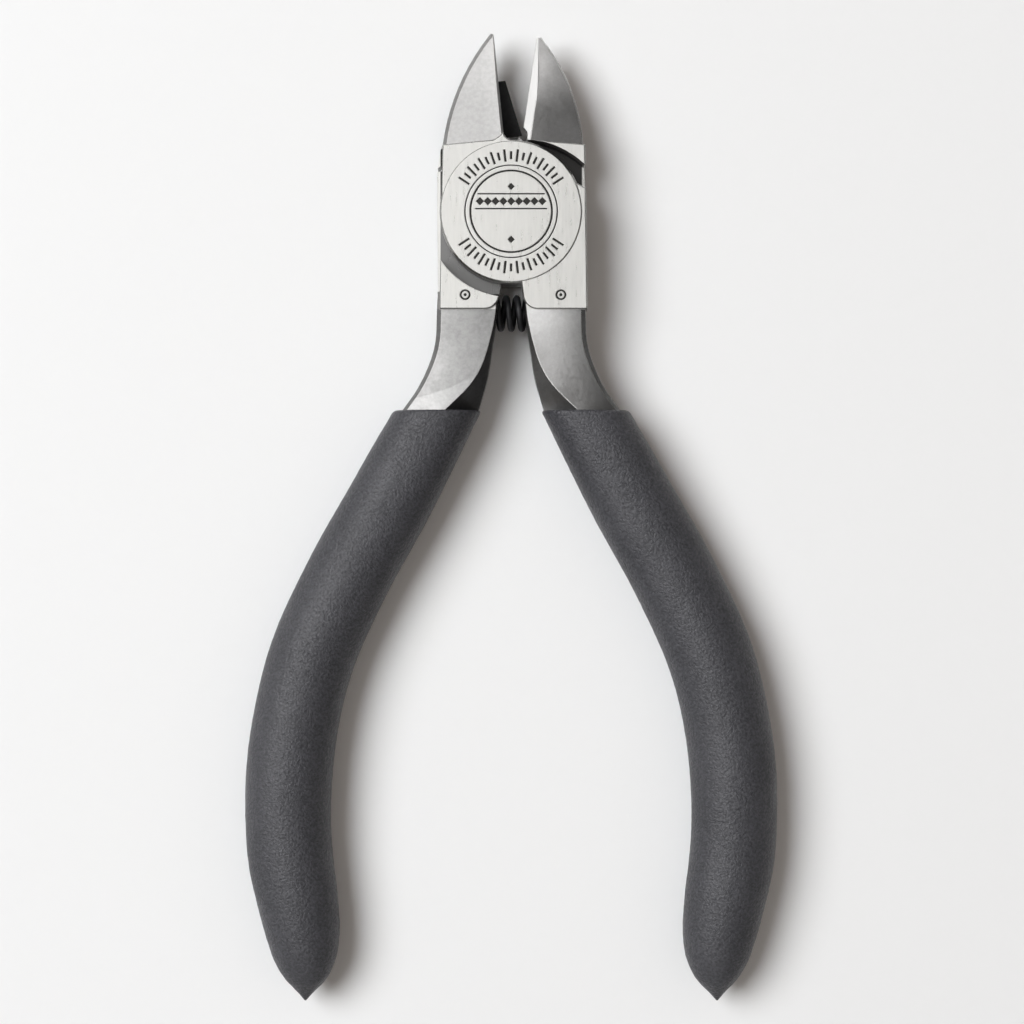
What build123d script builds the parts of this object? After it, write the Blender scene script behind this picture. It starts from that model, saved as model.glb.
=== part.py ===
from build123d import *
from math import cos, radians, sin
import os

os.makedirs("parts", exist_ok=True)

# ---- joint -------------------------------------------------------------
joint_thickness = 9.2      # over both round bosses
middle_height = joint_thickness / 2
boss_radius = 9.2
boss_rise = 0.12           # boss stands this far above the joint block
lap_gap = 0.06             # between the two flat lap faces
root_shoulder_radius = 11.0
block_top = 8.6            # outer end of the step below the jaws
block_bottom = -12.5       # step above the shanks
throat_top = 10.25         # rounded throat runs from the cutting edge to the boss
face_step = 0.5            # jaws and shanks sit below the block face
edge_break = 0.14          # small chamfer on the block faces

# ---- jaws --------------------------------------------------------------
front_edge_angle = 5.6     # cutting edges lie on planes through the pivot
rear_edge_angle = 8.2
jaw_root = 7.4             # hidden start of a jaw inside the block
slope_start = 9.5
front_jaw_reach = 23.6
rear_jaw_reach = 23.2
tip_thickness = 2.8
face_lean = 7.0            # fall of a jaw's faces towards its outer edge, degrees
land_height = 0.55         # upright strip below each cutting edge
valley_at_root = 4.05
valley_at_tip = 0.14
bevel_slope = 0.32         # drop of the edge bevel for its width
bevel_end = 17.4           # the bevel narrows from here to the tip

# ---- shanks and grips ---------------------------------------------------
shank_top = joint_thickness - boss_rise - face_step
shank_chamfer = 0.6
mouth_height = -25.4       # straight cut end of each grip

# ---- pivot and spring ---------------------------------------------------
rivet_radius = 3.0
rivet_head_radius = 6.0
rivet_head_depth = 1.7
rim_groove_radius = 5.35
washer_radius = 4.6
washer_depth = 0.9
running_gap = 0.03
spring_height = -12.8      # spring axis below the pivot
spring_radius = 2.35
spring_wire = 0.6
spring_half_length = 4.3
spring_turns = 7
pocket_gap = 0.12

# ---- stamped ornament -----------------------------------------------------
stamp_depth = 0.12
tick_ring_radius = 7.2
ticks_per_arc = 19
tick_arc = 114             # degrees, above and again below the rivet
lozenge_count = 9
lozenge_pitch = 1.0

# ---- lead catcher ---------------------------------------------------------
catcher_thickness = 0.5
catcher_screw_radius = 0.8
catcher_screw_head = 1.25
catcher_screw_at = (-5.0, 12.2)

flip = Location((0, 0, joint_thickness), (0, 180, 0))
jaw_slope = (joint_thickness - 2 * boss_rise - 2 * face_step - tip_thickness) / 2
jaw_slope = jaw_slope / (front_jaw_reach - slope_start)


def face_height(along):
    """Front face of a jaw at a distance from the pivot."""
    return shank_top - jaw_slope * max(0.0, along - slope_start)


def jaw(side, reach, tip_width, half_way, root_width, bevel, outer_chamfer):
    """Jaw with its cutting edge on the plane x = 0 and its body towards side."""
    back = joint_thickness
    with BuildPart() as blank:
        with BuildSketch() as outline:
            with BuildLine():
                edge = Line((0, jaw_root), (0, reach - 0.25))
                tip = Line(edge @ 1, (side * tip_width, reach))
                outer = ThreePointArc(tip @ 1, half_way, (side * root_width, jaw_root + 2.4))
                inner = Line(outer @ 1, (side * root_width, jaw_root))
                Line(inner @ 1, edge @ 0)
            make_face()
        extrude(amount=back)
        # both faces slope towards the tip and fall away from the cutting edge
        for flipped in (False, True):
            near, far = shank_top, face_height(reach + 1)
            top = back + 3
            lean = -side * sin(radians(face_lean))
            if flipped:
                near, far, top, lean = back - near, back - far, -3, -lean
            upright = Plane(
                origin=(0, 0, 0), x_dir=(0, 1, 0), z_dir=(cos(radians(face_lean)), 0, lean),
            )
            with BuildSketch(upright):
                Polygon(
                    (jaw_root - 1, near), (slope_start, near), (reach + 1, far),
                    (reach + 1, top), (jaw_root - 1, top), align=None,
                )
            extrude(amount=12, both=True, mode=Mode.SUBTRACT)
        outer_edges = blank.edges().filter_by(lambda e: e.geom_type not in (GeomType.LINE,))
        chamfer(outer_edges, length=outer_chamfer)
        # valley behind the cutting edge
        for along, width in ((jaw_root - 0.1, valley_at_root + 0.6), (reach + 0.2, valley_at_tip)):
            land = face_height(along) - land_height
            rear = back - face_height(along)
            rise = (land - rear) / width
            with BuildSketch(Plane(origin=(0, along, 0), x_dir=(1, 0, 0), z_dir=(0, -1, 0))):
                Polygon(
                    (0, land), (side * width, rear), (side * (width + 1 / rise), rear - 1),
                    (-side * 1.0, rear - 1), (-side * 1.0, land), align=None,
                )
        loft(ruled=True, mode=Mode.SUBTRACT)
        # bevel from the front face down to the cutting edge, fading at the tip
        for along, width in ((jaw_root, bevel), (bevel_end, bevel), (reach + 0.3, 0.05)):
            face = face_height(along)
            with BuildSketch(Plane(origin=(0, along, 0), x_dir=(1, 0, 0), z_dir=(0, -1, 0))):
                Polygon(
                    (-side * 1.0, face - bevel_slope * width), (0, face - bevel_slope * width),
                    (side * width, face), (side * width, face + 1), (-side * 1.0, face + 1),
                    align=None,
                )
        loft(ruled=True, mode=Mode.SUBTRACT)
    return blank.part


front_jaw = jaw(-1, front_jaw_reach, 0.35, (-5.5, 16.4), 7.9, 0.25, 0.5)
rear_jaw = jaw(1, rear_jaw_reach, 0.6, (5.7, 16.4), 7.95, 1.12, 0.24)


def wall(height):
    """Inner wall of a handle root, nearly a plane through the pivot."""
    return 0.13 * abs(height) + 0.15


def lever_base(upper_corner, lower_corner):
    """Boss, block corners and shank of one lever, without its jaw.

    The two corners are the half widths of the block beside the jaw and beside
    the shank.
    """
    with BuildPart() as base:
        block_face = joint_thickness - boss_rise
        with BuildSketch() as corners:
            Circle(boss_radius)
            with BuildLine():
                neck = Polyline(
                    (0, 0), (-upper_corner - 0.2, 0), (-upper_corner, block_top),
                    (-2.3, 9.2), (-1.45, 9.75), (-1.02, throat_top),
                )
                throat = ThreePointArc(neck @ 1, (-0.6, 9.5), (0.4, 9.15))
                Line(throat @ 1, neck @ 0)
            make_face()
            with BuildLine():
                side = Polyline(
                    (0, 0), (7.45, 4.25), (lower_corner - 0.2, 3.0), (lower_corner, block_bottom),
                    (3.3, block_bottom),
                )
                rounded = ThreePointArc(side @ 1, (2.25, -12.1), (wall(-11), -11.0))
                Polyline(rounded @ 1, (wall(-9), -9.0), side @ 0)
            make_face()
        extrude(amount=block_face)
        chamfer(base.edges().group_by(Axis.Z)[-1], length=edge_break)
        chamfer(base.edges().group_by(Axis.Z)[0], length=edge_break)
        with BuildSketch(Plane.XY.offset(middle_height)):
            Circle(boss_radius - edge_break)
        extrude(amount=middle_height)
        chamfer(base.edges().group_by(Axis.Z)[-1], length=boss_rise - 0.02)
        # shank: an eight-sided section whose inner bevel widens towards the grip and
        # whose faces fall away to the outer edge
        # height, inner wall, bevel drop, bevel width, outer edge, fall of the face
        stations = (
            (-10.2, wall(-10.2), 0.4, 0.15, 9.50, 0.00),
            (-13.0, wall(-13.0), 0.4, 0.20, 9.60, 0.10),
            (-16.0, wall(-16.0), 0.5, 0.40, 9.70, 0.30),
            (-18.6, 2.62, 0.8, 0.75, 10.25, 0.50),
            (-21.3, 3.05, 1.4, 1.60, 11.35, 0.70),
            (-23.4, 3.60, 2.1, 2.80, 12.55, 0.90),
            (-25.4, 4.20, 2.6, 4.30, 14.00, 1.05),
            (-26.8, 4.75, 2.8, 5.20, 14.40, 1.15),
        )
        low = joint_thickness - shank_top
        for height, inner, drop, inset, outer, fall in stations:
            upper = shank_top - fall
            lower = low + fall
            with BuildSketch(Plane(origin=(0, height, 0), x_dir=(1, 0, 0), z_dir=(0, -1, 0))):
                Polygon(
                    (inner, low + drop), (inner + inset, low),
                    (outer - shank_chamfer, lower), (outer, lower + shank_chamfer),
                    (outer, upper - shank_chamfer), (outer - shank_chamfer, upper),
                    (inner + inset, shank_top), (inner, shank_top - drop), align=None,
                )
        loft()
    return base.part


def along_handle(sections):
    """Rounded sections square to the curved handle line, lofted together.

    Each section is its share of the line, half width, half thickness and
    corner radius.
    """
    with BuildPart() as body:
        for share, width, thickness, corner in sections:
            direction = handle_line % share
            with BuildSketch(
                Plane(
                    origin=handle_line @ share,
                    x_dir=(-direction.Y, direction.X, 0),
                    z_dir=direction,
                )
            ):
                RectangleRounded(2 * width, 2 * thickness, corner)
        loft()
    return body.part


handle_line = Spline(
    (6.75, -20.2, middle_height), (15.65, -37.0, middle_height),
    (23.95, -52.6, middle_height), (28.38, -68.2, middle_height),
    (28.75, -81.6, middle_height), (27.1, -94.2, middle_height),
    (26.70, -102.0, middle_height),
)
grip_main = along_handle((
    (0.00, 5.45, 5.25, 3.6), (0.15, 5.50, 5.25, 4.0), (0.30, 5.60, 5.25, 4.4),
    (0.45, 5.65, 5.25, 4.8), (0.60, 5.60, 5.25, 5.0), (0.75, 5.50, 5.15, 5.0),
    (0.88, 5.05, 4.70, 4.6),
))
grip_tail = along_handle((
    (0.88, 5.05, 4.70, 4.6), (0.93, 4.40, 4.10, 4.0), (0.965, 3.00, 2.80, 2.7),
    (0.985, 1.40, 1.35, 1.3), (1.0, 0.35, 0.35, 0.3),
))
tang = along_handle((
    (0.075, 3.3, 2.8, 0.8), (0.2, 3.7, 3.0, 0.8), (0.4, 3.3, 2.8, 0.8),
    (0.65, 2.7, 2.4, 0.8), (0.88, 2.0, 1.8, 0.8),
))


def lap_clearance():
    """Everything the front lever must leave free in the rear half of the joint."""
    with BuildPart() as room:
        with BuildSketch(Plane.XY.offset(-1)):
            with BuildLine():
                shoulder = ThreePointArc((-9.4, 6.1), (-5.72, 8.45), (-2.08, 9.35))
                throat = Polyline(shoulder @ 1, (-2.08, 10.4), (-1.0, 11.7), (13, 11.7),
                                  (13, -5.37), (9.6, -5.37))
                root = ThreePointArc(throat @ 1, (7.07, -8.43), (0, -root_shoulder_radius))
                Polyline(root @ 1, (-14, -root_shoulder_radius), (-14, 5.7), shoulder @ 0)
            make_face()
        extrude(amount=1 + middle_height + lap_gap / 2)
    return room.part


rear_face = joint_thickness - face_height(catcher_screw_at[1])
screw_plane = Plane(
    origin=(*catcher_screw_at, rear_face), x_dir=(1, 0, 0), z_dir=(0, jaw_slope, -1),
)
with BuildPart() as screw_upright:
    with BuildSketch(screw_plane.offset(-2.4)):
        Circle(catcher_screw_radius)
    extrude(amount=2.4 + catcher_thickness)
    with BuildSketch(screw_upright.faces().sort_by(Axis.Z)[0]):
        Circle(catcher_screw_head)
    extrude(amount=0.45)
    chamfer(screw_upright.edges().filter_by(GeomType.CIRCLE).sort_by(Axis.Z)[0], length=0.12)
    with BuildSketch(screw_upright.faces().sort_by(Axis.Z)[0]):
        Rectangle(0.32, 3)
    extrude(amount=-0.25, mode=Mode.SUBTRACT)

with BuildPart() as lead_catcher_screw:
    add(screw_upright, rotation=(0, 0, front_edge_angle))

front_base = lever_base(8.8, 9.8)
rear_base = lever_base(9.5, 9.2)
room = lap_clearance()
spring_bore_depth = spring_half_length + pocket_gap


def stamp_mark(centre):
    """Small ring and dot, stamped beside the shank."""
    with Locations(centre):
        Circle(0.68)
        Circle(0.46, mode=Mode.SUBTRACT)
        Circle(0.2)


with BuildPart() as front_lever:
    add(front_base)
    # rear half of the jaw root stands out a little further than the front half
    with BuildSketch(Plane.XY.offset(2 * edge_break)):
        with BuildLine():
            swell = ThreePointArc((-8.9, 9.4), (-9.55, 6.4), (-9.62, 3.5))
            Polyline(swell @ 1, (-8, 3.5), (-8, 9.4), swell @ 0)
        make_face()
    extrude(amount=middle_height - 2 * edge_break - lap_gap)
    add(tang)
    add(front_jaw, rotation=(0, 0, front_edge_angle))
    add(room, mode=Mode.SUBTRACT)
    add(lead_catcher_screw, mode=Mode.SUBTRACT)
    with BuildSketch(Plane.XY.offset(joint_thickness - rivet_head_depth)):
        Circle(rivet_head_radius)
    extrude(amount=rivet_head_depth, mode=Mode.SUBTRACT)
    with BuildSketch():
        Circle(rivet_radius)
    extrude(amount=joint_thickness, mode=Mode.SUBTRACT)
    with Locations(Location((spring_bore_depth / 2, spring_height, middle_height), (0, 90, 0))):
        Cylinder(spring_radius + pocket_gap, spring_bore_depth, mode=Mode.SUBTRACT)
    # long and short ticks in two arcs on the boss
    with BuildSketch(Plane.XY.offset(joint_thickness)):
        for arc_start in (90 - tick_arc / 2, 270 - tick_arc / 2):
            with PolarLocations(tick_ring_radius, ticks_per_arc, arc_start, tick_arc, endpoint=True):
                Rectangle(1.0, 0.26)
            with PolarLocations(
                tick_ring_radius, ticks_per_arc // 2 + 1, arc_start, tick_arc, endpoint=True,
            ):
                Rectangle(1.6, 0.26)
    extrude(amount=-stamp_depth, mode=Mode.SUBTRACT)
    with BuildSketch(Plane.XY.offset(joint_thickness - boss_rise)):
        stamp_mark((6.4, -10.7))
    extrude(amount=-stamp_depth, mode=Mode.SUBTRACT)

with BuildPart() as rear_lever:
    add(rear_base.moved(flip))
    add(tang.moved(flip))
    add(rear_jaw, rotation=(0, 0, -rear_edge_angle))
    add(room.moved(flip), mode=Mode.SUBTRACT)
    with BuildSketch():
        Circle(washer_radius)
    extrude(amount=washer_depth, mode=Mode.SUBTRACT)
    with BuildSketch():
        Circle(rivet_radius + running_gap)
    extrude(amount=joint_thickness, mode=Mode.SUBTRACT)
    with Locations(Location((-spring_bore_depth / 2, spring_height, middle_height), (0, 90, 0))):
        Cylinder(spring_radius + pocket_gap, spring_bore_depth, mode=Mode.SUBTRACT)
    # rear half stands out beside the block, up to the round shoulder
    with BuildSketch(Plane.XY.offset(2 * edge_break)):
        Polygon(
            (-8.2, block_bottom), (-9.5, block_bottom), (-9.62, 0), (-9.62, 5.6), (-8.6, 5.8),
            (-7.6, 5.0), align=None,
        )
    extrude(amount=middle_height - 2 * edge_break - lap_gap)
    with BuildSketch(Plane.XY.offset(joint_thickness)):
        stamp_mark((-5.9, -10.7))
    extrude(amount=-stamp_depth, mode=Mode.SUBTRACT)

with BuildPart() as pivot_rivet:
    with BuildSketch():
        Circle(rivet_radius)
    extrude(amount=joint_thickness - rivet_head_depth)
    with BuildSketch(Plane.XY.offset(joint_thickness - rivet_head_depth)):
        Circle(rivet_head_radius - 0.02)
    extrude(amount=rivet_head_depth)
    chamfer(pivot_rivet.edges().group_by(Axis.Z)[-1], length=0.14)
    # rim groove, and a band of lozenges between two rules with one more above and below
    with BuildSketch(Plane.XY.offset(joint_thickness)):
        Circle(rim_groove_radius)
        Circle(rim_groove_radius - 0.22, mode=Mode.SUBTRACT)
        with Locations((0, 1.3)):
            with GridLocations(lozenge_pitch, 1, lozenge_count, 1):
                RegularPolygon(0.52, 4)
        for height, length in ((0.35, 9.2), (2.25, 8.6)):
            with Locations((0, height)):
                Rectangle(length, 0.16)
        with Locations((0, 3.2), (0, -3.6)):
            RegularPolygon(0.45, 4)
    extrude(amount=-stamp_depth, mode=Mode.SUBTRACT)
    # formed tail that spreads into the washer
    with BuildSketch():
        Circle(rivet_radius + 0.4)
    extrude(amount=0.4, taper=45)

with BuildPart() as pivot_washer:
    with BuildSketch():
        Circle(washer_radius - running_gap)
        Circle(rivet_radius, mode=Mode.SUBTRACT)
    extrude(amount=washer_depth - running_gap)
    add(pivot_rivet, mode=Mode.SUBTRACT)
    chamfer(pivot_washer.edges().filter_by(GeomType.CIRCLE).sort_by(SortBy.RADIUS)[-2:], length=0.1)

with BuildPart() as return_spring:
    with BuildLine():
        coil = Helix(
            pitch=(2 * spring_half_length - spring_wire) / spring_turns,
            height=2 * spring_half_length - spring_wire,
            radius=spring_radius - spring_wire / 2,
            center=(-spring_half_length + spring_wire / 2, spring_height, middle_height),
            direction=(1, 0, 0),
        )
    with BuildSketch(Plane(origin=coil @ 0, z_dir=coil % 0)):
        Circle(spring_wire / 2)
    sweep(path=coil)

catcher_base = joint_thickness - face_height(12.0)
with BuildPart() as strip:
    # bent strip, drawn across the jaw and run parallel to its sloping rear face
    tilt = Vector(0, 1, jaw_slope).normalized()
    with BuildSketch(Plane(origin=(0, 9.8, catcher_base - 2.2 * jaw_slope), x_dir=(1, 0, 0),
                           z_dir=-tilt)):
        with BuildLine():
            Polyline(
                (-6.6, 0), (-3.65, 0), (-2.35, 1.35), (2.6, 1.35),
                (2.6, 1.35 - catcher_thickness), (-2.2, 1.35 - catcher_thickness),
                (-3.5, -catcher_thickness), (-6.6, -catcher_thickness), (-6.6, 0),
            )
        make_face()
    extrude(amount=-8.6)
    with BuildSketch(Plane.XY.offset(-2)):
        with BuildLine():
            Polyline(
                (-6.5, 10.9), (-4.6, 10.45), (2.45, 10.45), (1.25, 16.1), (0.95, 17.6),
                (-0.4, 17.6), (-2.6, 15.0), (-6.2, 14.4), (-6.5, 10.9),
            )
        make_face()
    extrude(amount=joint_thickness, mode=Mode.INTERSECT)

with BuildPart() as lead_catcher:
    add(strip, rotation=(0, 0, front_edge_angle))
    add(front_lever, mode=Mode.SUBTRACT)
    add(lead_catcher_screw, mode=Mode.SUBTRACT)

for holder, lever, place in (
    ("front", front_lever, Location()), ("rear", rear_lever, flip),
):
    with BuildPart() as grip:
        add(grip_main.moved(place))
        add(grip_tail.moved(place))
        with Locations((0, mouth_height + 20, middle_height)):
            Box(80, 40, 20, mode=Mode.SUBTRACT)
        add(lever, mode=Mode.SUBTRACT)
    grip.part.label = holder + "_lever_grip"
    export_step(grip.part, "parts/" + holder + "_lever_grip.step")

for name, piece in (
    ("front_lever", front_lever), ("rear_lever", rear_lever), ("pivot_rivet", pivot_rivet),
    ("pivot_washer", pivot_washer), ("return_spring", return_spring),
    ("lead_catcher", lead_catcher), ("lead_catcher_screw", lead_catcher_screw),
):
    piece.part.label = name
    export_step(piece.part, "parts/" + name + ".step")
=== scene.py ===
import bpy
import numpy as np
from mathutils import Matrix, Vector


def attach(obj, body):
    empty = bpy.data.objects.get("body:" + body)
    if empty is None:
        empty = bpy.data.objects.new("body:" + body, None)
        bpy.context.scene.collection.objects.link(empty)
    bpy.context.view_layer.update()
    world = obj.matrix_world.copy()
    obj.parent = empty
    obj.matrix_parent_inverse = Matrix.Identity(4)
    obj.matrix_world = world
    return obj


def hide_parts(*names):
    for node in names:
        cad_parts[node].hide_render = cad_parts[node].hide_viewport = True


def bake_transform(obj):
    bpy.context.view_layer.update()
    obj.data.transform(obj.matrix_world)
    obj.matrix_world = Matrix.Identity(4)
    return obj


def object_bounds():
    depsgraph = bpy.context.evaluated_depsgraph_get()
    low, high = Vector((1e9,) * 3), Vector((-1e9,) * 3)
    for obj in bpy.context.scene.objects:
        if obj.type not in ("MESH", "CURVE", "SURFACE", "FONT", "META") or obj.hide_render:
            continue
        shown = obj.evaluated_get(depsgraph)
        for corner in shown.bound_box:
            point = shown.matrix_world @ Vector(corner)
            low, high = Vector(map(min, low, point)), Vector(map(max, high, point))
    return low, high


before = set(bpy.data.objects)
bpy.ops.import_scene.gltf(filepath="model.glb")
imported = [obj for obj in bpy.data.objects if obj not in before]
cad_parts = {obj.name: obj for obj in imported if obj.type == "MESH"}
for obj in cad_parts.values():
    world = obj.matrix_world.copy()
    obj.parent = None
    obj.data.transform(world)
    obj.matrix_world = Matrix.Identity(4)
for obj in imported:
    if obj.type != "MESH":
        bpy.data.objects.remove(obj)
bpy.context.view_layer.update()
mm = 0.001
print("frame loaded:", sorted(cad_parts))


# Cubic curve through the given points: each span is a Hermite cubic whose end
# slopes are the central differences of the points.
def smoothCurve(stops, values, at):
    stops = np.asarray(stops, float)
    values = np.asarray(values, float)
    slopes = np.gradient(values, stops, axis=0)
    at = np.clip(at, stops[0], stops[-1])
    span = np.clip(np.searchsorted(stops, at, side="right") - 1, 0, len(stops) - 2)
    width = stops[span + 1] - stops[span]
    t = (at - stops[span]) / width
    shape = (-1,) + (1,) * (values.ndim - 1)
    t = t.reshape(shape)
    width = width.reshape(shape)
    return ((2 * t**3 - 3 * t**2 + 1) * values[span]
            + (t**3 - 2 * t**2 + t) * width * slopes[span]
            + (3 * t**2 - 2 * t**3) * values[span + 1]
            + (t**3 - t**2) * width * slopes[span + 1])


def smoothStep(low, high, at):  # 3t^2 - 2t^3 between low and high
    t = np.clip((at - low) / (high - low), 0, 1)
    return t * t * (3 - 2 * t)


# Value noise: a pseudo random number at each corner of a cubic lattice, from the
# fraction of a large sine, blended across the cell with 3t^2 - 2t^3.
def latticeNoise(points, cell, seed=0.0):
    scaled = points / cell
    corner = np.floor(scaled)
    t = scaled - corner
    t = t * t * (3 - 2 * t)
    total = np.zeros(points.shape[:-1])
    for i in (0, 1):
        for j in (0, 1):
            for k in (0, 1):
                c = corner + (i, j, k)
                raw = np.sin(c[..., 0] * 127.1 + c[..., 1] * 311.7 + c[..., 2] * 74.7 + seed)
                value = raw * 43758.5453
                value = value - np.floor(value)
                weight = (np.where(i, t[..., 0], 1 - t[..., 0])
                          * np.where(j, t[..., 1], 1 - t[..., 1])
                          * np.where(k, t[..., 2], 1 - t[..., 2]))
                total += weight * value
    return total * 2 - 1


# Mesh from a grid of points, closed round its columns; each end may be shut by a
# fan to the mean of its last ring.
def meshFromGrid(name, grid, shutStart=False, shutEnd=False):
    rows, cols = grid.shape[:2]
    verts = grid.reshape(-1, 3)
    r, c = np.meshgrid(np.arange(rows - 1), np.arange(cols), indexing="ij")
    nextCol = (c + 1) % cols
    quads = np.stack([r * cols + c, r * cols + nextCol,
                      (r + 1) * cols + nextCol, (r + 1) * cols + c], -1).reshape(-1, 4)
    faces = quads.tolist()
    ring = np.arange(cols)
    if shutStart:
        verts = np.vstack([verts, grid[0].mean(0)])
        fan = np.stack([(ring + 1) % cols, ring, np.full(cols, len(verts) - 1)], -1)
        faces += fan.tolist()
    if shutEnd:
        verts = np.vstack([verts, grid[-1].mean(0)])
        last = (rows - 1) * cols
        fan = np.stack([last + ring, last + (ring + 1) % cols, np.full(cols, len(verts) - 1)], -1)
        faces += fan.tolist()
    mesh = bpy.data.meshes.new(name)
    mesh.from_pydata(verts.tolist(), [], faces)
    mesh.update()
    mesh.shade_smooth()
    obj = bpy.data.objects.new(name, mesh)
    bpy.context.scene.collection.objects.link(obj)
    return obj


# Unit normals of a closed grid, from the cross product of its two differences.
def gridNormals(grid):
    along = np.gradient(grid, axis=0)
    around = np.roll(grid, -1, 1) - np.roll(grid, 1, 1)
    normal = np.cross(around, along)
    return normal / np.maximum(np.linalg.norm(normal, axis=-1, keepdims=True), 1e-12)


# Short hand for one material's node tree. The pattern of every finish follows the
# piece's own coordinates.
class Nodes:
    def __init__(self, name):
        self.material = bpy.data.materials.new(name)
        self.material.use_nodes = True
        self.tree = self.material.node_tree
        self.tree.nodes.clear()
        self.output = self.add("ShaderNodeOutputMaterial")
        self.shader = self.add("ShaderNodeBsdfPrincipled")
        self.link(self.shader.outputs[0], self.output.inputs[0])
        self.place = self.add("ShaderNodeTexCoord").outputs["Object"]

    def add(self, kind, **settings):
        node = self.tree.nodes.new(kind)
        for key, value in settings.items():
            if key.startswith("in_"):
                node.inputs[key[3:].replace("_", " ")].default_value = value
            else:
                setattr(node, key, value)
        return node

    def link(self, source, target):
        self.tree.links.new(source, target)

    def stretched(self, scale):  # object position times a scale per axis
        node = self.add("ShaderNodeMapping")
        node.inputs["Scale"].default_value = scale
        self.link(self.place, node.inputs["Vector"])
        return node.outputs[0]

    def noise(self, scale, detail=3.0, rough=0.55, where=None):
        node = self.add("ShaderNodeTexNoise", in_Scale=scale, in_Detail=detail, in_Roughness=rough)
        self.link(where or self.place, node.inputs["Vector"])
        return node.outputs["Fac"]

    def math(self, kind, a, b=0.5, c=None):
        node = self.add("ShaderNodeMath", operation=kind)
        for i, value in enumerate((a, b) if c is None else (a, b, c)):
            if isinstance(value, (int, float)):
                node.inputs[i].default_value = value
            else:
                self.link(value, node.inputs[i])
        return node.outputs[0]

    def remap(self, value, low, high, toLow=0.0, toHigh=1.0, kind="SMOOTHSTEP"):
        node = self.add("ShaderNodeMapRange", interpolation_type=kind)
        for name, number in (("From Min", low), ("From Max", high),
                             ("To Min", toLow), ("To Max", toHigh)):
            node.inputs[name].default_value = number
        self.link(value, node.inputs["Value"])
        return node.outputs["Result"]

    def zone(self, value, span, toLow=0.0, toHigh=1.0, kind="SMOOTHSTEP"):  # remap over mm
        return self.remap(value, span[0] * mm, span[1] * mm, toLow, toHigh, kind)

    def times(self, *values):
        product = values[0]
        for value in values[1:]:
            product = self.math("MULTIPLY", product, value)
        return product

    def minus(self, a, b):
        return self.math("SUBTRACT", a, b)

    def size(self, value):
        return self.math("ABSOLUTE", value)

    def blend(self, first, second, share):  # first * share + second * (1 - share)
        return self.math("ADD", self.times(first, share), self.times(second, 1 - share))

    def mix(self, factor, first, second):
        node = self.add("ShaderNodeMix", data_type="RGBA")
        for i, value in ((0, factor), (6, first), (7, second)):
            if isinstance(value, (int, float)):
                node.inputs[i].default_value = value
            elif isinstance(value, tuple):
                node.inputs[i].default_value = (*value, 1.0)
            else:
                self.link(value, node.inputs[i])
        return node.outputs[2]

    def scaled(self, colour, factor):  # colour times a number
        node = self.add("ShaderNodeVectorMath", operation="SCALE")
        self.link(colour, node.inputs[0])
        self.link(factor, node.inputs["Scale"])
        return node.outputs[0]

    def bump(self, height, strength, distance, before=None):
        node = self.add("ShaderNodeBump", in_Distance=distance)
        if isinstance(strength, (int, float)):
            node.inputs["Strength"].default_value = strength
        else:
            self.link(strength, node.inputs["Strength"])
        self.link(height, node.inputs["Height"])
        if before is not None:
            self.link(before, node.inputs["Normal"])
        return node.outputs[0]

    def set(self, **inputs):
        for key, value in inputs.items():
            socket = self.shader.inputs[key.replace("_", " ")]
            if isinstance(value, (int, float)):
                socket.default_value = value
            elif isinstance(value, tuple):
                socket.default_value = (*value, 1.0)
            else:
                self.link(value, socket)


leverLooks = {
    "groundColour": (0.735, 0.732, 0.706),  # flat ground joint block
    "forgedLight": (0.66, 0.66, 0.655),     # shanks: burnished patches and dull ones
    "forgedDark": (0.42, 0.418, 0.415),
    "jawColour": (0.425, 0.422, 0.418),
    "honedBevelAndHighlight": (0.57, 0.57, 0.566),     # honed strip along the cutting edge, painted brighter as its highlight
    "edgeHighlightColour": (0.97, 0.97, 0.95),       # painted highlight on the corners
    "edgeHighlightShare": 0.8,
    "lapShadeDark": (0.045, 0.044, 0.043),     # painted shade on the hidden floors of the lap joint, above the pivot
    "lapShadePale": (0.21, 0.21, 0.208),        # paler painted shade on them below it
    "stampColour": (0.05, 0.049, 0.047),    # inside the stamped marks
    "sideShadeShare": 0.50,                      # sides and chamfers are painted darker than faces, a painted shade
    "jawSideShadeShare": 0.78,
    "sideTilt": (0.88, 0.78),               # upright share of the normal where a side starts
    "edgeHighlightFrom": (0.995, 0.93),            # parting of the normals where the painted corner highlight starts
    "cornerRadius": 0.13,                   # mm
    "grainScale": 2600.0,                   # patterns, in repeats per metre
    "streakStretch": (1.0, 0.10, 1.0),
    "speckleScale": 2080.0,
    "mottleScale": 230.0,
    "mottleStretch": (1.0, 0.75, 1.0),
    "fineScale": 1840.0,
    "groundSpread": 0.035,                  # how far the grain changes a colour
    "jawSpread": 0.09,
    "groundRough": (0.27, 0.34),
    "forgedRough": (0.44, 0.33),
}
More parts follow.
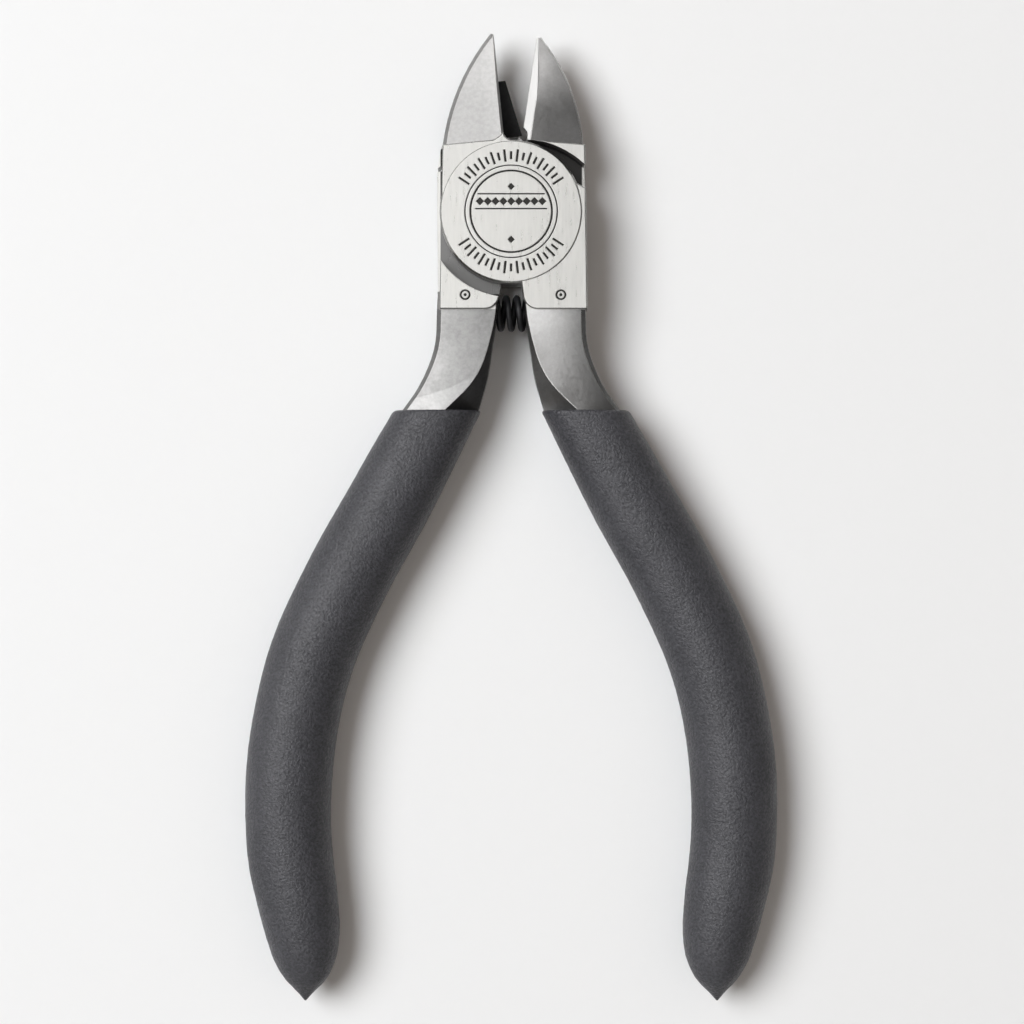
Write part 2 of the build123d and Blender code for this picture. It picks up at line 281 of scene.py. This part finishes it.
leverZones = {  # mm on the lever; each pair is where a zone's soft border starts and ends
    "block": (-12.5, 8.6),                  # the joint block along Y
    "jawStep": (0.78, 0.86),                # its upper border at X = 0, above the block's top
    "jawStepLean": 0.09,                    # how much that border falls per mm of X
    "jawTop": (8.72, 8.66),                 # the jaws' faces lie below this along Z
    "jawSurely": (1.8, 1.9),                # all that is this far above the block's top is jaw
    "shankStep": (0.02, -0.04),
    "lapFront": (4.1, 4.3),                 # the lap joint's floors along Z
    "lapBack": (7.2, 5.6),
    "lapWidth": (9.25, 9.15),
    "lapTurn": (-1.0, 2.0),
    "bossFace": 9.2,
    "bossRim": (9.05, 8.95),
    "stampStart": (0.045, 0.07),            # depth below the face
    "stampFloor": (0.2, 0.16),
    "stampRadius": (8.6, 8.5),
    "cornerMark": (6.15, -10.7),            # ring and dot on each lower corner
    "cornerAcross": (1.3, 1.2),
    "cornerAlong": (0.9, 0.8),
    "shankLean": 0.19,                      # the shank moves out this much per mm down
    "shankInnerEdge": 1.8,
    "shankWidth": 8.3,
    "jawShadingRun": (12.5, 20.0),                # painted shading that changes from the jaw's root to its tip
    "edgeHighlightRun": (2.6, 0.0),                 # painted highlight beside the cutting edge
    "bevelRun": (17.4, 23.3),               # the honed strip narrows along this stretch
    "bevelTip": 0.05,
    "bevelBorder": (0.04, -0.02),
    "bevelLevel": (5.4, 5.6),
}
frontLeverLooks = {  # edge angle in degrees, side that the jaw's body is on, mm, and shares of painted light and shade: one lever's jaw is painted lit and the other's shaded
    "edgeAngle": 5.6, "side": -1, "bevel": 0.25, "blockFace": 9.08, "nearEdgeHighlight": 1.06,
    "jawShading": 0.92, "tipShading": 1.14, "shankInnerShading": 1.38, "shankOuterShading": 0.42,
}
rearLeverLooks = {
    "edgeAngle": 8.2, "side": 1, "bevel": 1.12, "blockFace": 9.2, "nearEdgeHighlight": 1.45,
    "jawShading": 0.56, "tipShading": 2.8, "shankInnerShading": 0.56, "shankOuterShading": 0.94,
}


def shades(n, colour, factor, low, high, spread):  # a colour made duller and paler by a pattern
    dull = tuple(c * (1 - spread) for c in colour)
    pale = tuple(min(1.0, c * (1 + spread * 0.6)) for c in colour)
    return n.mix(n.remap(factor, low, high), dull, pale)


# The jaws' zone and the block's zone, each 1 inside and 0 outside.
def leverParts(n, x, y, z, zones):
    low, high = zones["block"]
    stepLine = n.math("MULTIPLY_ADD", n.size(x), zones["jawStepLean"], y)
    jaw = n.zone(stepLine, [high + edge for edge in zones["jawStep"]])
    jaw = n.times(jaw, n.zone(z, zones["jawTop"]))
    jaw = n.math("MAXIMUM", jaw, n.zone(y, [high + edge for edge in zones["jawSurely"]]))
    shank = n.zone(y, [low + edge for edge in zones["shankStep"]])
    return jaw, n.minus(1.0, n.math("MAXIMUM", jaw, shank))


# The stamped marks: faces a little below the block's or the boss's own, inside the
# boss and at the two corner marks.
def stampZone(n, x, y, z, zones, blockFace):
    radius = n.math("SQRT", n.math("MULTIPLY_ADD", x, x, n.times(y, y)))
    onBoss = n.zone(radius, zones["bossRim"])
    face = n.math("MULTIPLY_ADD", onBoss, (zones["bossFace"] - blockFace) * mm, blockFace * mm)
    depth = n.minus(face, z)
    stamp = n.times(n.zone(depth, zones["stampStart"]), n.zone(depth, zones["stampFloor"]))
    markX, markY = zones["cornerMark"]
    along = n.size(n.math("ADD", y, -markY * mm))
    across = n.size(n.minus(n.size(x), markX * mm))
    corners = n.times(n.zone(along, zones["cornerAlong"]), n.zone(across, zones["cornerAcross"]))
    return n.times(stamp, n.math("MAXIMUM", n.zone(radius, zones["stampRadius"]), corners))


# Forged shank: patches of two tones, with painted shading that makes it brighter or darker from its
# inner edge outwards.
def shankColour(n, x, y, patches, looks, zones, lever):
    below = n.math("ADD", y, -zones["block"][0] * mm)
    leaning = n.math("MULTIPLY_ADD", below, zones["shankLean"], n.size(x))
    across = n.times(n.minus(leaning, zones["shankInnerEdge"] * mm), 1 / (zones["shankWidth"] * mm))
    acrossShading = n.remap(across, 0.15, 1.0, lever["shankInnerShading"], lever["shankOuterShading"])
    return n.scaled(n.mix(patches, looks["forgedDark"], looks["forgedLight"]), acrossShading)


# Ground, honed and forged steel on one lever, with painted shade and highlights. The zones are told
# apart by their
# place on the lever: bands across Y, a strip beside the cutting edge, and depth.
def steelMaterial(name, looks, zones, lever):
    n = Nodes(name)
    split = n.add("ShaderNodeSeparateXYZ")
    n.link(n.place, split.inputs[0])
    x, y, z = split.outputs
    jaw, block = leverParts(n, x, y, z, zones)
    lap = n.times(n.zone(z, zones["lapFront"]), n.zone(z, zones["lapBack"]), block,
                  n.zone(n.size(x), zones["lapWidth"]))
    stamp = stampZone(n, x, y, z, zones, lever["blockFace"])

    streak = n.noise(looks["grainScale"], 4.0, 0.6, n.stretched(looks["streakStretch"]))
    speckle = n.noise(looks["speckleScale"], 3.0, 0.6)
    mottle = n.noise(looks["mottleScale"], 5.0, 0.62, n.stretched(looks["mottleStretch"]))
    fineMottle = n.noise(looks["fineScale"], 4.0, 0.65)
    grit = n.remap(n.blend(fineMottle, speckle, 0.5), 0.3, 0.7)
    patches = n.blend(n.remap(mottle, 0.30, 0.70), grit, 0.55)

    ground = shades(n, looks["groundColour"], streak, 0.3, 0.7, looks["groundSpread"])
    forged = shankColour(n, x, y, patches, looks, zones, lever)
    # the jaw's colour with painted shading: lit on one lever, shaded on the other, and paler towards the
    # tip
    jawColour = tuple(c * lever["jawShading"] for c in looks["jawColour"])
    jawFace = shades(n, jawColour, n.blend(speckle, mottle, 0.7), 0.34, 0.66, looks["jawSpread"])
    jawFace = n.scaled(jawFace, n.zone(y, zones["jawShadingRun"], 1.0, lever["tipShading"]))
    # distance from the cutting edge's plane, towards the jaw's body
    turn = np.radians(lever["edgeAngle"])
    beside = n.math("MULTIPLY_ADD", x, float(lever["side"] * np.cos(turn)),
                    n.times(y, float(-np.sin(turn))))
    width = n.zone(y, zones["bevelRun"], lever["bevel"] * mm, zones["bevelTip"] * mm, "LINEAR")
    beyond = n.minus(beside, width)
    # painted highlight on the jaw's face beside the cutting edge
    jawFace = n.scaled(jawFace, n.zone(beyond, zones["edgeHighlightRun"], 1.0, lever["nearEdgeHighlight"]))
    strip = n.times(n.zone(beyond, zones["bevelBorder"]), n.zone(z, zones["bevelLevel"]))

    # painted shade on sides and chamfers, whose normals lie well away from the tool's thickness
    normals = n.add("ShaderNodeNewGeometry").outputs["Normal"]
    upright = n.add("ShaderNodeSeparateXYZ")
    n.link(normals, upright.inputs[0])
    sideways = n.remap(n.size(upright.outputs[2]), *looks["sideTilt"])
    loss = n.math("MULTIPLY_ADD", jaw, looks["sideShadeShare"] - looks["jawSideShadeShare"],
                  1 - looks["sideShadeShare"])
    sideShade = n.minus(1.0, n.times(sideways, loss))
    colour = n.scaled(n.mix(jaw, n.mix(block, forged, ground), jawFace), sideShade)
    # the honed strip beside the cutting edge: a honed finish whose colour is partly a painted highlight
    colour = n.mix(n.times(strip, jaw), colour, looks["honedBevelAndHighlight"])

    # softened corner normals; where they part from the flat ones a highlight is painted along the edge
    rounded = n.add("ShaderNodeBevel", samples=6, in_Radius=looks["cornerRadius"] * mm).outputs[0]
    parting = n.add("ShaderNodeVectorMath", operation="DOT_PRODUCT")
    n.link(rounded, parting.inputs[0])
    n.link(normals, parting.inputs[1])
    edgeHighlight = n.remap(parting.outputs["Value"], *looks["edgeHighlightFrom"])
    colour = n.mix(n.times(edgeHighlight, looks["edgeHighlightShare"]), colour, looks["edgeHighlightColour"])
    # painted shade on the lap joint's deep floors, dark above the pivot and paler below
    lapFloorShade = n.mix(n.zone(y, zones["lapTurn"]), looks["lapShadePale"], looks["lapShadeDark"])
    colour = n.mix(lap, colour, lapFloorShade)
    n.set(Base_Color=n.mix(stamp, colour, looks["stampColour"]), Metallic=1.0)

    rough = n.add("ShaderNodeMix", data_type="FLOAT")
    n.link(block, rough.inputs[0])
    n.link(n.remap(patches, 0.2, 0.8, *looks["forgedRough"]), rough.inputs[2])
    n.link(n.remap(streak, 0.3, 0.7, *looks["groundRough"]), rough.inputs[3])
    n.set(Roughness=rough.outputs[0])
    fine = n.bump(streak, 0.05, 0.01 * mm, rounded)
    fine = n.bump(speckle, 0.06, 0.02 * mm, fine)
    dents = n.times(n.minus(1.0, block), 0.22)
    n.set(Normal=n.bump(fineMottle, dents, 0.06 * mm, fine))
    return n.material


blackSteelLooks = {
    "dark": (0.007, 0.007, 0.008),
    "light": (0.020, 0.020, 0.022),
    "cloudScale": 900.0,
    "grainScale": 4000.0,
    "metallic": 0.35,
    "rough": (0.42, 0.55),
}


# Black oxide: slow clouds of tone and gloss over a very fine grain.
def blackSteelMaterial(name, looks):
    n = Nodes(name)
    cloud = n.noise(looks["cloudScale"], 4.0, 0.6)
    n.set(Base_Color=n.mix(n.remap(cloud, 0.35, 0.7), looks["dark"], looks["light"]),
          Metallic=looks["metallic"], Roughness=n.remap(cloud, 0.3, 0.7, *looks["rough"]))
    n.set(Normal=n.bump(n.noise(looks["grainScale"]), 0.15, 0.02 * mm))
    return n.material


gripLooks = {
    "dark": (0.028, 0.028, 0.0322),
    "light": (0.077, 0.0765, 0.085),
    "grainScale": 3000.0,      # skin pores, a third of a millimetre
    "creaseScale": 2250.0,
    "patchScale": 140.0,
    "grainShare": 0.55,        # how much each pattern adds to the tone
    "creaseShare": 0.25,
    "patchShare": 0.20,
    "rough": (0.48, 0.42),
    "grainGloss": 0.12,
    "specular": 0.36,
}


# Moulded foam skin: a fine leathery grain that catches the light, with slow patches
# where hands have burnished it.
def gripMaterial(name, looks):
    n = Nodes(name)
    grain = n.noise(looks["grainScale"], 2.0, 0.5)
    cells = n.add("ShaderNodeTexVoronoi", feature="DISTANCE_TO_EDGE", in_Scale=looks["creaseScale"])
    n.link(n.place, cells.inputs["Vector"])
    creases = n.remap(cells.outputs["Distance"], 0.0, 0.16)
    patches = n.noise(looks["patchScale"], 3.0)
    slow = n.math("ADD", n.times(creases, looks["creaseShare"]),
                  n.times(n.remap(patches, 0.3, 0.7), looks["patchShare"]))
    tone = n.math("ADD", n.times(n.remap(grain, 0.32, 0.68), looks["grainShare"]), slow)
    rough = n.minus(n.remap(patches, 0.3, 0.7, *looks["rough"]),
                    n.remap(grain, 0.5, 0.75, 0.0, looks["grainGloss"]))
    n.set(Base_Color=n.mix(tone, looks["dark"], looks["light"]), Metallic=0.0, Roughness=rough,
          Specular_IOR_Level=looks["specular"])
    pores = n.bump(grain, 0.75, 0.16 * mm)
    n.set(Normal=n.bump(creases, 0.35, 0.06 * mm, pores))
    return n.material


# the two levers get the same steel, painted lit on one and shaded on the other; the pivot parts take the
# front lever's painted shading
steelFront = steelMaterial("ground tool steel", leverLooks, leverZones, frontLeverLooks)
steelRear = steelMaterial("ground tool steel rear lever", leverLooks, leverZones, rearLeverLooks)
steelPivot = steelMaterial("polished pivot steel", leverLooks, leverZones, frontLeverLooks)
blackSteel = blackSteelMaterial("black oxide spring steel", blackSteelLooks)
gripSkin = gripMaterial("charcoal foam skin", gripLooks)
print("materials ready")


def paint(obj, material):
    obj.data.materials.clear()
    obj.data.materials.append(material)


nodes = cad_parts
for name, material in (
    ("front_lever", steelFront), ("rear_lever", steelRear), ("pivot_rivet", steelPivot),
    ("pivot_washer", steelPivot), ("lead_catcher", blackSteel), ("lead_catcher_screw", blackSteel),
):
    paint(nodes[name], material)

gripShape = {
    # centre line of the right hand grip in mm
    "lineX": (6.75, 9.56, 15.65, 21.42, 26.02, 28.38, 28.98, 28.64, 27.75, 26.95, 26.72, 26.75),
    "lineY": (-20.2, -25.4, -37.0, -47.4, -57.8, -68.2, -78.1, -83.8, -89.0, -94.2, -98.1, -102.05),
    # half widths and half thicknesses at shares of its length from the mouth
    "share": (0.0, 0.06, 0.3, 0.5, 0.7, 0.81, 0.856, 0.899, 0.937, 0.969, 0.987, 1.0),
    "halfWidth": (5.05, 5.25, 5.55, 5.60, 5.55, 5.40, 5.15, 4.72, 3.92, 2.42, 1.00, 0.12),
    "halfThickness": (5.05, 5.15, 5.20, 5.20, 5.15, 4.95, 4.72, 4.30, 3.60, 2.30, 0.98, 0.12),
    "squareness": 2.35,        # power of the section at the mouth
    "rounding": 0.35,          # what that power loses over the first 30 mm
    "mouthY": -25.45,
    "middle": 4.6,             # height of the centre line
    "levelLength": 11.0,       # the cut turns square to the line over this length
    "lipRadius": 0.45,
    "faceInset": (2.4, 1.6),   # rings on the cut face, in from its rim and down into it
    "faceDepth": (0.30, 0.06),
    "columns": 150,
    "rows": 400,
    "grainHeight": 0.022,
    "grainCell": 0.55,
    "swellHeight": 0.05,       # slow unevenness of the sleeve
    "swellCell": 9.0,
}


# Superellipse, |u/a|^p + |w/b|^p = 1, carried along the handle line. The cut plane
# starts level, square to Y, and turns square to the line over the first centimetre.
# A quarter circle rounds the rim. Two noises raise grains along the normals.
def gripSurface(name, side, shape, material):
    lineX = np.array(shape["lineX"])
    lineY = np.array(shape["lineY"])
    step = np.concatenate([[0], np.cumsum(np.hypot(np.diff(lineX), np.diff(lineY)))])
    dense = np.linspace(0, step[-1], 1200)
    centre = smoothCurve(step, np.stack([lineX, lineY], -1), dense)
    start = np.interp(-shape["mouthY"], -centre[:, 1], dense)
    length = dense[-1] - start
    radius = shape["lipRadius"]
    # rows of the cut face, its rounded lip, then the body
    turn = np.linspace(0, np.pi / 2, 7)
    lipInset = radius * (1 - np.sin(turn))[1:]
    lipDepth = radius * (1 - np.cos(turn))[1:]
    body = radius + (length - radius) * np.linspace(0, 1, shape["rows"])[1:]
    inset = np.concatenate([shape["faceInset"], [radius], lipInset, np.zeros(len(body))])
    depth = np.concatenate([shape["faceDepth"], [0.0], lipDepth, body])
    share = depth / length
    at = start + depth
    cx = np.interp(at, dense, centre[:, 0])
    cy = np.interp(at, dense, centre[:, 1])
    slope = np.arctan2(np.gradient(centre[:, 0], dense), -np.gradient(centre[:, 1], dense))
    lean = np.interp(at, dense, slope)
    turned = lean * smoothStep(0.0, shape["levelLength"], depth)  # 0 is a level cut
    stretch = 1 / np.cos(lean - turned)
    a = smoothCurve(shape["share"], shape["halfWidth"], share) * stretch - inset
    b = smoothCurve(shape["share"], shape["halfThickness"], share) - inset
    angle = np.linspace(0, 2 * np.pi, shape["columns"], endpoint=False)
    power = 2 / (shape["squareness"] - shape["rounding"] * smoothStep(0, 30, depth))[:, None]
    cosine = np.cos(angle)[None, :]
    sine = np.sin(angle)[None, :]
    u = np.sign(cosine) * np.abs(cosine) ** power * a[:, None]
    w = np.sign(sine) * np.abs(sine) ** power * b[:, None]
    x = cx[:, None] + u * np.cos(turned)[:, None]
    y = cy[:, None] + u * np.sin(turned)[:, None]
    z = shape["middle"] + w
    grid = np.stack([x, y, z], -1)
    normal = gridNormals(grid)
    outward = np.sign((normal * (grid - grid.mean(1, keepdims=True))).sum(-1, keepdims=True).mean())
    normal = normal * outward
    grains = (latticeNoise(grid, shape["grainCell"], 1.7 + side)
              + 0.5 * latticeNoise(grid, shape["grainCell"] * 0.55, 4.1))
    calm = smoothStep(0.0, 0.6, depth)[:, None] * smoothStep(0.0, 1.5, length - depth)[:, None]
    swell = shape["swellHeight"] * latticeNoise(grid, shape["swellCell"], 2.3)
    grid = grid + normal * ((shape["grainHeight"] * grains + swell) * calm)[..., None]
    if side < 0:
        grid = grid * (-1, 1, 1)
    if (side < 0) == (outward > 0):
        grid = grid[:, ::-1]
    obj = meshFromGrid(name, grid * mm, shutEnd=True)
    paint(obj, material)
    return obj


rightGrip = gripSurface("frontLeverSleeve", 1, gripShape, gripSkin)
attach(rightGrip, "front_lever_body")
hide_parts("front_lever_grip")
leftGrip = gripSurface("rearLeverSleeve", -1, gripShape, gripSkin)
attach(leftGrip, "rear_lever_body")
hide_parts("rear_lever_grip")
print("grips ready")

springShape = {
    "halfLength": 4.3,    # mm along X
    "radius": 2.0,        # from the axis to the wire's middle
    "wire": 0.40,         # half the wire's thickness
    "axisY": -12.8,
    "axisZ": 4.6,
    "turns": 7.0,
    "closedTurns": 0.8,
    "endPitch": 0.16,     # pitch of the closed turns, as a share of the free ones
    "blendHalf": 1.7,     # a half length in mm
    "stepsPerTurn": 40,
    "columns": 14,
}


# Round wire carried along a helix about X: Y and Z are the radius times the cosine and
# the sine of the turn. The pitch falls with smoothStep towards each end.
def coilSurface(name, shape, material):
    steps = int(shape["turns"] * shape["stepsPerTurn"])
    turn = np.linspace(0, shape["turns"], steps + 1)
    ends = shape["closedTurns"]
    opening = smoothStep(0.2, ends + 0.5, turn)
    speed = shape["endPitch"] + (1 - shape["endPitch"]) * opening * opening[::-1]
    along = np.concatenate([[0], np.cumsum((speed[1:] + speed[:-1]) / 2)])
    half = shape["halfLength"] - shape["wire"]
    along = -half + 2 * half * along / along[-1]
    angle = 2 * np.pi * turn
    line = np.stack([along, shape["axisY"] + shape["radius"] * np.cos(angle),
                     shape["axisZ"] + shape["radius"] * np.sin(angle)], -1)
    tangent = np.gradient(line, axis=0)
    tangent /= np.linalg.norm(tangent, axis=1, keepdims=True)
    outward = np.stack([np.zeros_like(angle), np.cos(angle), np.sin(angle)], -1)
    side = np.cross(tangent, outward)
    side /= np.linalg.norm(side, axis=1, keepdims=True)
    outward = np.cross(side, tangent)
    around = np.linspace(0, 2 * np.pi, shape["columns"], endpoint=False)
    grid = (line[:, None] + shape["wire"] * (np.cos(around)[None, :, None] * outward[:, None]
                                              + np.sin(around)[None, :, None] * side[:, None]))
    obj = meshFromGrid(name, grid * mm, shutStart=True, shutEnd=True)
    paint(obj, material)
    return obj


spring = coilSurface("returnSpringCoil", springShape, blackSteel)
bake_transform(spring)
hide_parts("return_spring")
print("spring ready")

studio = {
    "floorColour": (0.90, 0.90, 0.90),
    "floorReach": 3.0,
    "keyFrom": (-0.66, 0.20, 1.06),
    "keySize": 0.85,
    "keyPower": 16.8,
    "keyColour": (0.965, 0.985, 1.0),
    "sheenShare": 1.05,                  # power of the same lamp in the steel's reflections
    "fillFrom": (0.50, 0.0, 1.0),
    "fillSize": 2.0,
    "fillPower": 3.4,
    "fillColour": (1.0, 0.91, 0.84),
    "cardX": (-1.10, 0.07),              # card overhead that the flat steel faces reflect
    "cardY": (-0.70, 0.90),
    "cardHeight": 1.0,
    "cardGlow": 0.84,
    "endDistance": 1.7,                  # cards beyond the jaws and the grips
    "endHeight": 1.3,
    "endSize": (2.2, 1.7),
    "endGlow": 0.55,
    "worldLow": 0.05,
    "worldHigh": 0.11,
    "worldColour": (1.0, 0.90, 0.83, 1.0),
    "aim": (0, -0.039, 0),               # the lamps point at the middle of the tool
    "cameraPlace": (0.0001, -0.0386),
    "pictureWidth": 0.1331,              # what the camera takes in at the tool's middle height
    "middleHeight": 0.0046,
    "lens": 100.0,
    "sensor": 36.0,
}
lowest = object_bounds()[0].z
reach = studio["floorReach"]
floorMesh = bpy.data.meshes.new("floor")
floorMesh.from_pydata([(-reach, -reach, lowest), (reach, -reach, lowest), (reach, reach, lowest),
                       (-reach, reach, lowest)], [], [(0, 1, 2, 3)])
floor = bpy.data.objects.new("floor", floorMesh)
bpy.context.scene.collection.objects.link(floor)
paper = Nodes("pale paper")
paperDark = tuple(c * 0.99 for c in studio["floorColour"])
paper.set(Base_Color=paper.mix(paper.noise(900.0, 4.0), paperDark, studio["floorColour"]), Roughness=0.9)
paint(floor, paper.material)


# Flat lamp that looks from its place at a target. A matte lamp lights surfaces
# without showing in polished steel, and a mirror lamp is only seen in reflections.
def areaLight(name, place, target, size, power, colour=(1, 1, 1), matte=True, mirror=True):
    data = bpy.data.lights.new(name, "AREA")
    data.shape = "DISK" if size[0] == size[1] else "RECTANGLE"
    if data.shape == "DISK":
        data.size = size[0]
    else:
        data.size, data.size_y = size
    data.energy = power
    data.color = colour
    light = bpy.data.objects.new(name, data)
    bpy.context.scene.collection.objects.link(light)
    light.location = place
    light.rotation_euler = (Vector(target) - Vector(place)).to_track_quat("-Z", "Y").to_euler()
    light.visible_diffuse = matte
    light.visible_glossy = mirror


# Mirror lamp whose power gives its face a wanted brightness: brightness * pi * area.
def glowCard(name, place, target, size, glow):
    areaLight(name, place, target, size, glow * np.pi * size[0] * size[1], matte=False)


areaLight("key", studio["keyFrom"], studio["aim"], (studio["keySize"],) * 2, studio["keyPower"],
          studio["keyColour"], mirror=False)
areaLight("sheen", studio["keyFrom"], studio["aim"], (studio["keySize"],) * 2,
          studio["keyPower"] * studio["sheenShare"], matte=False)
areaLight("fill", studio["fillFrom"], studio["aim"], (studio["fillSize"],) * 2, studio["fillPower"],
          studio["fillColour"], mirror=False)
left, right = studio["cardX"]
near, far = studio["cardY"]
cardX = (left + right) / 2
cardY = (near + far) / 2
glowCard("mirror card", (cardX, cardY, studio["cardHeight"]), (cardX, cardY, 0),
         (right - left, far - near), studio["cardGlow"])
# Two more cards stand beyond the jaws and the grips. They only show in the steel from
# low views; from above it reflects the card overhead.
for sign in (-1, 1):
    glowCard("end card", (0, sign * studio["endDistance"], studio["endHeight"]), studio["aim"],
             studio["endSize"], studio["endGlow"])
print("lamps ready")

# The room is paler on the left of the tool and darker on the right.
world = bpy.data.worlds.new("studio")
world.use_nodes = True
roomNodes = world.node_tree.nodes
direction = roomNodes.new("ShaderNodeTexCoord")
split = roomNodes.new("ShaderNodeSeparateXYZ")
fade = roomNodes.new("ShaderNodeMapRange")
fade.interpolation_type = "SMOOTHSTEP"
for label, value in (("From Min", -0.35), ("From Max", 0.25),
                     ("To Min", studio["worldHigh"]), ("To Max", studio["worldLow"])):
    fade.inputs[label].default_value = value
links = world.node_tree.links
links.new(direction.outputs["Generated"], split.inputs[0])
links.new(split.outputs[0], fade.inputs["Value"])
links.new(fade.outputs["Result"], roomNodes["Background"].inputs[1])
roomNodes["Background"].inputs[0].default_value = studio["worldColour"]
bpy.context.scene.world = world
bpy.context.scene.view_settings.view_transform = "Standard"

camera = bpy.data.objects.new("camera", bpy.data.cameras.new("camera"))
bpy.context.scene.collection.objects.link(camera)
camera.data.lens = studio["lens"]
camera.data.sensor_width = studio["sensor"]
cameraHeight = studio["middleHeight"] + studio["pictureWidth"] * studio["lens"] / studio["sensor"]
camera.location = (*studio["cameraPlace"], cameraHeight)
bpy.context.scene.camera = camera
